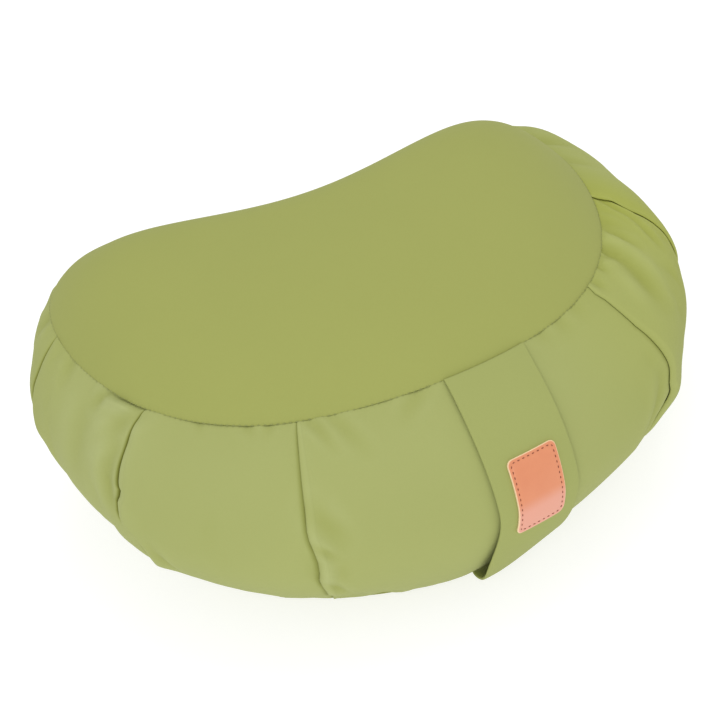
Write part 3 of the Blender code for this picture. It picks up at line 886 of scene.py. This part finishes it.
def bump(tree, height, strength, distance, **below):
    """A Bump node's normal, on top of the Normal below."""
    return feed(tree, tree.nodes.new("ShaderNodeBump"), {
        "Height": height, "Strength": strength, "Distance": distance, **below}).outputs[0]


def new_group(name, inputs, outputs):
    """A node group of numbers; an input without a default is a vector."""
    group = bpy.data.node_groups.new(name, "ShaderNodeTree")
    for label, value in inputs.items():
        kind = "NodeSocketVector" if value is None else "NodeSocketFloat"
        socket = group.interface.new_socket(name=label, in_out="INPUT", socket_type=kind)
        if value is not None:
            socket.default_value = value
    for label in outputs:
        group.interface.new_socket(name=label, in_out="OUTPUT", socket_type="NodeSocketFloat")
    source, sink = group.nodes.new("NodeGroupInput"), group.nodes.new("NodeGroupOutput")
    return group, source.outputs, sink


def use_group(tree, group, inputs):
    """A node group at work in a tree; returns its outputs."""
    node = tree.nodes.new("ShaderNodeGroup")
    node.node_tree = group
    return feed(tree, node, inputs).outputs


def split(tree, vector):
    """Its x, y and z."""
    return feed(tree, tree.nodes.new("ShaderNodeSeparateXYZ"), {0: vector}).outputs


# %% Weave group
def build_weave():
    """Plain weave: |sin| ridges of warp and weft that take turns on top."""
    group, source, sink = new_group(
        "plain_weave", {"Vector": None, "Threads per metre": 2200.0}, ["Height"])
    x, y, _ = split(group, source["Vector"])
    turn = product(group, source["Threads per metre"], math.pi)
    wave_x = math_node(group, "SINE", product(group, x, turn))
    wave_y = math_node(group, "SINE", product(group, y, turn))
    over = line(group, product(group, wave_x, wave_y), 0.5, 0.5)
    warp = product(group, math_node(group, "ABSOLUTE", wave_x), over)
    weft = product(group, math_node(group, "ABSOLUTE", wave_y), line(group, over, -1.0, 1.0))
    feed(group, sink, {"Height": math_node(group, "ADD", warp, weft)})
    return group


# %% Dye group
def build_dye():
    """Broad and fine noise, mixed: how light or dark the dye took."""
    group, source, sink = new_group(
        "uneven_dye", {"Vector": None, "Broad": 0.05, "Fine": 0.04}, ["Tint"])
    broad = math_node(group, "SUBTRACT", noise(group, source["Vector"], 14.0, 3.0), 0.5)
    fine = math_node(group, "SUBTRACT", noise(group, source["Vector"], 900.0, 2.0), 0.5)
    total = math_node(group, "ADD", product(group, broad, source["Broad"]),
                      product(group, fine, source["Fine"]))
    feed(group, sink, {"Tint": math_node(group, "ADD", total, 1.0)})
    return group


# %% Pucker group
def build_pucker():
    """cos(2 pi arc / pitch) times a mask that fades away from the seam; a faster fading mask is the
    painted shade of the seam's groove.
    """
    group, source, sink = new_group(
        "seam_pucker", {"Arc": 0.0, "Gap": 0.0, "Pitch": STITCH_PITCH, "Reach": 0.0016},
        ["Height", "Painted groove shade"])
    turns = math_node(group, "DIVIDE", source["Arc"], source["Pitch"])
    wave = math_node(group, "COSINE", product(group, turns, 2 * math.pi))
    fade = product(group, math_node(group, "DIVIDE", source["Gap"], source["Reach"]), -1.0)
    feed(group, sink, {
        "Height": product(group, wave, math_node(group, "EXPONENT", fade)),
        "Painted groove shade": math_node(group, "EXPONENT", product(group, fade, 3.0))})
    return group


WEAVE, DYE, PUCKER = build_weave(), build_dye(), build_pucker()
print("node groups", list(bpy.data.node_groups.keys()))


# %% [markdown]
# ## The cotton
# Cotton is matte, with a faint sheen. Its roughness is high everywhere, a shade
# lower on the tops of the threads.

# %% Material helpers
def start_material(name):
    """A new material with its tree, its shader and object coordinates."""
    material = bpy.data.materials.new(name)
    material.use_nodes = True
    tree = material.node_tree
    place = tree.nodes.new("ShaderNodeTexCoord").outputs["Object"]
    return material, tree, tree.nodes["Principled BSDF"], place


def uv_place(tree, name):
    """Coordinates on a UV map."""
    node = tree.nodes.new("ShaderNodeUVMap")
    node.uv_map = name
    return node.outputs[0]


# %% Cotton material
def cotton(name, colour, arc_uv):
    """Cloth colour times dye, thread shade and painted light and shade; bump from weave and
    puckers.
    """
    material, tree, shader, place = start_material(name)
    crevice, painted_relief_light = mark(tree, "fold_shade"), mark(tree, "painted_relief_light")
    weave = use_group(tree, WEAVE, {"Vector": uv_place(tree, "cloth")})["Height"]
    dye = use_group(tree, DYE, {"Vector": place})["Tint"]
    pucker = use_group(tree, PUCKER, {"Arc": split(tree, uv_place(tree, arc_uv))[0],
                                      "Gap": mark(tree, "seam_gap")})
    # painted shade and light: the seam's groove and the fold crevices are painted darker, wrinkle
    # valleys darker, and ridges, folded edges and the left end paler
    tone = product(tree, dye, line(tree, weave, 0.10, 0.95),
                   line(tree, pucker["Painted groove shade"], -0.07, 1.0), line(tree, crevice, -0.55, 1.0),
                   line(tree, painted_relief_light, 0.10, 1.0))
    # in blue the painted shade of crevices and valleys is deeper, so it reads warmer, and the
    # painted warm light takes blue out on the right and the back
    blue = product(tree, line(tree, crevice, -0.50, 1.0), line(tree, painted_relief_light, 0.16, 1.0),
                   line(tree, mark(tree, "painted_warm_light"), -1.0, 1.0), tone)
    tint = feed(tree, tree.nodes.new("ShaderNodeCombineColor"), {0: tone, 1: tone, 2: blue})
    soft = bump(tree, noise(tree, place, 45.0, 2.0), 0.30, 0.0012)
    ripple = bump(tree, pucker["Height"], 0.35, 0.00025, Normal=soft)
    feed(tree, shader, {
        "Base Color": mix_colour(tree, 1.0, colour, tint.outputs[0], "MULTIPLY"),
        "Roughness": line(tree, weave, -0.08, 0.92),
        "Specular IOR Level": 0.12, "Sheen Weight": 0.03, "Sheen Roughness": 0.5,
        "Normal": bump(tree, weave, 0.35, 0.00010, Normal=ripple)})
    return material


# painted light: one cotton in three tones, the band's lighter and bluer for the front light on it,
# the panels' darker and yellower for the light from above; the strap's tone lies between
SIDE_COTTON = cotton("side_cotton", (0.352, 0.382, 0.134, 1), "cloth")
TOP_COTTON = cotton("top_cotton", (0.331, 0.355, 0.102, 1), "along")
STRAP_COTTON = cotton("strap_cotton", (0.336, 0.367, 0.122, 1), "cloth")


# %% [markdown]
# ## Leather and thread
# The patch is smooth tan leather with a fine pebble and a paler cut edge, and a
# sheen is painted on its lower half. Its thread is darker than the leather, and
# the seam's thread matches the cloth.

# %% Leather material
def leather(name, colour, painted_sheen_colour, pale):
    """Tan with pebble bump; a painted sheen lightens the lower half, a mark the cut edge."""
    material, tree, shader, place = start_material(name)
    edge = mark(tree, "cut_edge")
    pebble = feed(tree, tree.nodes.new("ShaderNodeTexVoronoi"), {"Vector": place, "Scale": 1500.0})
    cloud = noise(tree, place, 90.0, 3.0)
    tan = mix_colour(tree, cloud, colour, np.multiply(colour, (0.90, 0.82, 0.80, 1)))
    tan = mix_colour(tree, mark(tree, "painted_sheen"), tan, painted_sheen_colour)
    feed(tree, shader, {
        "Base Color": mix_colour(tree, edge, tan, pale),
        "Roughness": line(tree, edge, 0.35, 0.36),
        "Normal": bump(tree, pebble.outputs["Distance"], 0.25, 0.00012)})
    return material


# %% Thread material
def thread(name, colour):
    """Twisted thread: slanting ridges darken and bump the colour."""
    material, tree, shader, place = start_material(name)
    twist = feed(tree, tree.nodes.new("ShaderNodeTexWave"), {"Vector": place, "Scale": 1400.0})
    twist.bands_direction = "DIAGONAL"
    ridge = twist.outputs["Fac"]
    dark = np.multiply(colour, (0.7, 0.7, 0.7, 1))
    feed(tree, shader, {"Base Color": mix_colour(tree, ridge, dark, colour), "Roughness": 0.7,
                        "Normal": bump(tree, ridge, 0.3, 0.00005)})
    return material


# the second colour is the sheen painted on the patch's lower half
PATCH_LEATHER = leather("tan_leather", (0.745, 0.285, 0.142, 1), (0.745, 0.345, 0.252, 1),
                        (0.93, 0.70, 0.43, 1))
TAN_THREAD = thread("dark_tan_thread", (0.27, 0.070, 0.032, 1))
GREEN_THREAD = thread("green_thread", (0.32, 0.35, 0.105, 1))
print("finishes", [material.name for material in bpy.data.materials])

# %% [markdown]
# ## Dress the frame
# Each piece takes its finish and rides on the one body there is, and the solid
# that a piece stands for is hidden.

# %% Ride and replace
FITTINGS = [
    (body, SIDE_COTTON, "side_cotton", ["side_band"]),
    (top, TOP_COTTON, "panel_cotton", ["top_panel"]),
    (bottom, TOP_COTTON, "panel_cotton", ["bottom_panel"]),
    (strap, STRAP_COTTON, "strap_cotton", ["handle_strap"]),
    (patch, PATCH_LEATHER, "label_leather", ["leather_label"]),
    (patch_thread, TAN_THREAD, "label_leather", []),
    (seam_thread, GREEN_THREAD, "side_cotton", []),
]
for piece, material, slot_name, nodes in FITTINGS:
    piece.data.materials.append(material)
    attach(piece, "root")
    if nodes:
        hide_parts(*nodes)

# %% [markdown]
# ## Floor, light and camera
# The photo is a pack shot on pure white, with hardly a shadow. A white world and
# two broad soft lights, in front and above, give that.

# %% Stage
floor = new_object("pale_floor", [(-4, -4, 0), (4, -4, 0), (4, 4, 0), (-4, 4, 0)], [(0, 1, 2, 3)])
paper = bpy.data.materials.new("pale_paper")
paper.use_nodes = True
feed(paper.node_tree, paper.node_tree.nodes["Principled BSDF"], {
    "Base Color": (0.40, 0.40, 0.40, 1), "Roughness": 0.9,
    "Emission Color": (1, 1, 1, 1), "Emission Strength": 0.70})
floor.data.materials.append(paper)


# %% Camera
def facing(right, up, back, place):
    """World matrix of a thing with these axes at a place."""
    return Matrix(np.stack([right, up, back, place], 1).tolist() + [[0, 0, 0, 1]])


TURN, RISE, DISTANCE, LEAN = -0.3064, 0.6631, 1.1, -0.1644   # radians and metres
back = np.array([math.sin(TURN) * math.cos(RISE), -math.cos(TURN) * math.cos(RISE), math.sin(RISE)])
level_right = np.array([math.cos(TURN), math.sin(TURN), 0.0])
level_up = np.cross(back, level_right)
right = level_right * math.cos(LEAN) + level_up * math.sin(LEAN)
up = -level_right * math.sin(LEAN) + level_up * math.cos(LEAN)
eye = np.array([-0.00072, -0.01757, 0.07]) + PLACE + back * DISTANCE
camera_data = bpy.data.cameras.new("camera")
camera_data.lens = 1862.19 / 725 * 36       # focal length and width of the photo in pixels
camera_data.clip_end = 20
camera = add_object("camera", camera_data)
camera.matrix_world = facing(right, up, back, eye)
bpy.context.scene.camera = camera


# %% Lights
def softbox(name, place, aim, size, power):
    """A square area light at a place, facing a point."""
    data = bpy.data.lights.new(name, "AREA")
    data.size = size
    data.energy = power
    away = unit(np.subtract(place, aim))
    across = unit(np.cross([0.0, 0.0, 1.0], away))
    lamp = add_object(name, data)
    lamp.matrix_world = facing(across, np.cross(away, across), away, place)


softbox("front_softbox", (-0.9, -1.9, 1.5), (0, 0, 0.06), 1.3, 18)
softbox("top_softbox", (0.5, 0.7, 2.2), (0, 0, 0.06), 1.6, 12)
world = bpy.data.worlds.new("white_studio")
world.use_nodes = True
feed(world.node_tree, world.node_tree.nodes["Background"],
     {"Color": (1, 1, 1, 1), "Strength": 0.74})
bpy.context.scene.world = world
bpy.context.scene.view_settings.view_transform = "Standard"
